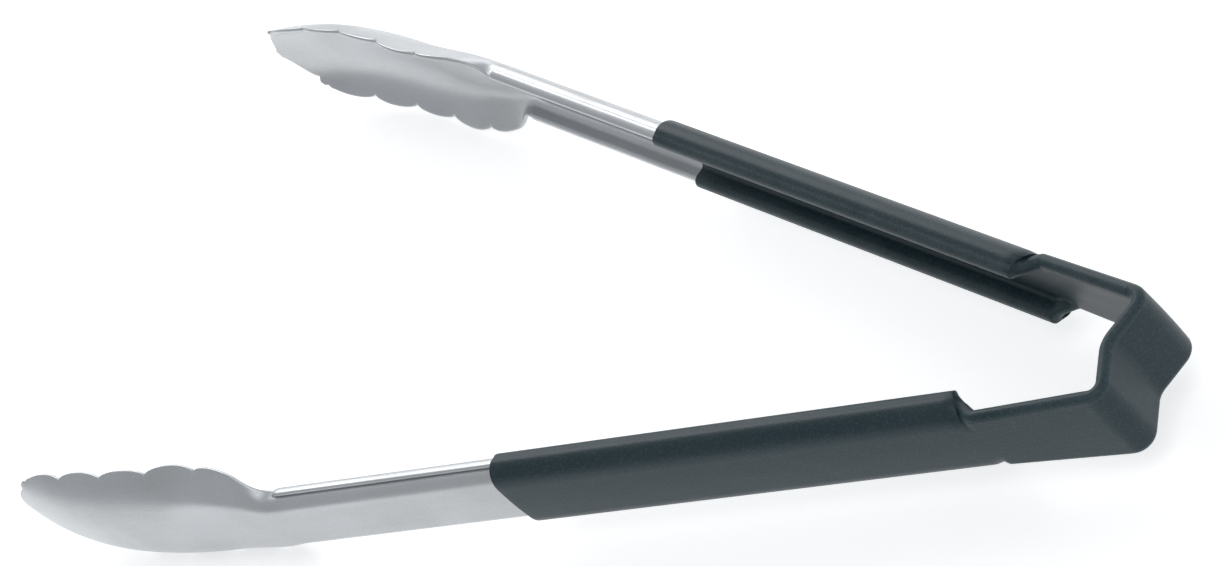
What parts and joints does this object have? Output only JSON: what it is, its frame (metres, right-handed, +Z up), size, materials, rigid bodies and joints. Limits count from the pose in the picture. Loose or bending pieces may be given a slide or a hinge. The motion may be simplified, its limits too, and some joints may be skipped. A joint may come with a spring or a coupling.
{
  "type": "spring tongs",
  "caption": "One-piece spring tongs of pressed steel strip with scalloped spoon jaws, hemmed channel arms and a dipped handle coat",
  "frame": {"origin": "middle of the length and of the opening, on the level that the jaws' lower edges touch when the tongs lie on one side at rest", "axes": "+X from the spring end to the jaws, +Y towards the left arm, +Z up across the width of the strip"},
  "size_m": [0.311, 0.1472, 0.0348],
  "materials": {
    "steel": "satin stainless steel, brighter along the folds",
    "vinyl": "satin dipped vinyl, dark slate grey"
  },
  "bodies": {
    "spring_end": {"spring_bow": "steel", "bow_cover": "vinyl"},
    "left_arm": {"arm_left": "steel", "grip_left": "vinyl", "jaw_left": "steel"},
    "right_arm": {"arm_right": "steel", "grip_right": "vinyl", "jaw_right": "steel"}
  },
  "joints": [
    {"name": "left_arm_flex", "type": "hinge", "parent": "spring_end", "child": "left_arm", "pos_m": [-0.14494, 0.01354, 0.01739], "axis": [0, 0, -1], "range_deg": [0, 12.4], "stiffness_Nm_per_rad": 6},
    {"name": "right_arm_flex", "type": "hinge", "parent": "spring_end", "child": "right_arm", "pos_m": [-0.14494, -0.01354, 0.01739], "axis": [0, 0, 1], "range_deg": [0, 12.4], "stiffness_Nm_per_rad": 6}
  ],
  "couplings": [
    {"joint": "right_arm_flex", "follows": "left_arm_flex", "ratio": 1}
  ]
}
